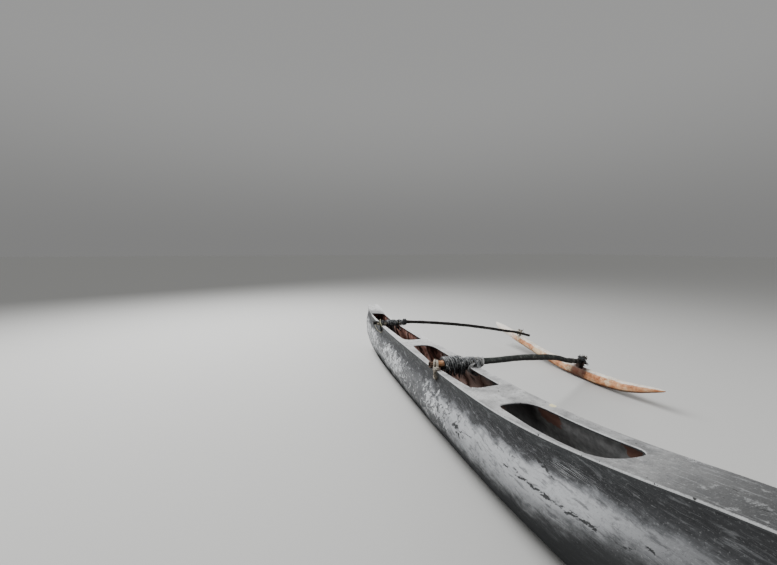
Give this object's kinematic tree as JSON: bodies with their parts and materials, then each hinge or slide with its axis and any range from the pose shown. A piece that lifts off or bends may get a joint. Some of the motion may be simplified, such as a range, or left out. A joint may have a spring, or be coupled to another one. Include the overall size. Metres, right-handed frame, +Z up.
{
  "type": "outrigger canoe",
  "caption": "Decked double-ended canoe hull with open cockpits and a log float held beside it on lashed pole booms.",
  "frame": {"origin": "on the centreline under the middle of the hull, at the flat of the keel that the canoe stands on", "axes": "+Z up, +Y along the hull towards the end with the far cockpit, +X sideways towards the float"},
  "size_m": [2.4442, 5.5, 0.8665],
  "materials": {
    "hull": "weathered grey glass-reinforced gelcoat, scuffed and stained",
    "deck": "weathered grey gelcoat, pitted, paler along the rim",
    "rib": "red-brown stained timber",
    "pole": "dark weathered bark",
    "bar": "peeled timber",
    "winding": "grey rag and rope, wound",
    "rope": "laid rope, sun-bleached",
    "float": "pale worn log, orange-brown on its sides"
  },
  "bodies": {
    "root": {"keel_board": "hull", "hull_port_near": "hull", "hull_port_middle": "hull", "hull_port_far": "hull", "hull_starboard_near": "hull", "hull_starboard_middle": "hull", "hull_starboard_far": "hull", "stem_near": "hull", "stem_far": "hull", "deck_near": "deck", "bridge_near": "deck", "bridge_far": "deck", "deck_far": "deck", "side_deck_port": "deck", "side_deck_starboard": "deck", "rib_1": "rib", "rib_2": "rib", "rib_3": "rib", "rib_4": "rib", "rib_5": "rib", "rib_6": "rib", "rib_7": "rib", "boom_near": "pole", "bar_near": "bar", "winding_near": "winding", "collar_near": "winding", "lashing_near_port": "rope", "lashing_near_starboard": "rope", "peg_near_1": "bar", "peg_near_2": "bar", "float_lashing_near": "rope", "boom_far": "pole", "bar_far": "bar", "winding_far": "winding", "collar_far": "winding", "lashing_far_port": "rope", "lashing_far_starboard": "rope", "peg_far_1": "bar", "peg_far_2": "bar", "float_lashing_far": "rope", "chock_near": "pole", "rope_tail": "rope", "float_log": "float"}
  },
  "joints": []
}
